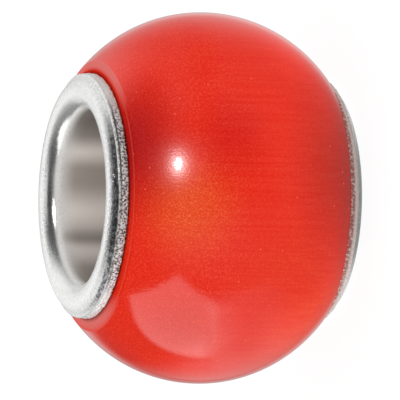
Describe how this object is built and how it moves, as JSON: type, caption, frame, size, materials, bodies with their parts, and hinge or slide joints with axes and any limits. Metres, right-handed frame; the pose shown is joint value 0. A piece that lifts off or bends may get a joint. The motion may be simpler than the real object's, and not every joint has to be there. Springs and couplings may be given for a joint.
{
  "type": "european charm bead",
  "caption": "Barrel-shaped glass charm bead with a wide through hole, lined from both ends by rolled metal eyelets, to slide on a bracelet.",
  "frame": {"origin": "middle of the bead, on the axis of its hole and half way along it", "axes": "+Z along the hole, vertical as the bead lies on an end; the bead is round about Z and the same from both ends, so X and Y are free"},
  "size_m": [0.014, 0.014, 0.01],
  "materials": {
    "cats_eye_glass": "polished orange-red cat's-eye glass, cloudy, with fine fibres along the hole and a moving band of light",
    "eyelet_metal": "satin silver plate over brass, with a rough cut edge"
  },
  "bodies": {
    "root": {"glass_body": "cats_eye_glass", "eyelet_upper": "eyelet_metal", "eyelet_lower": "eyelet_metal"}
  },
  "joints": []
}
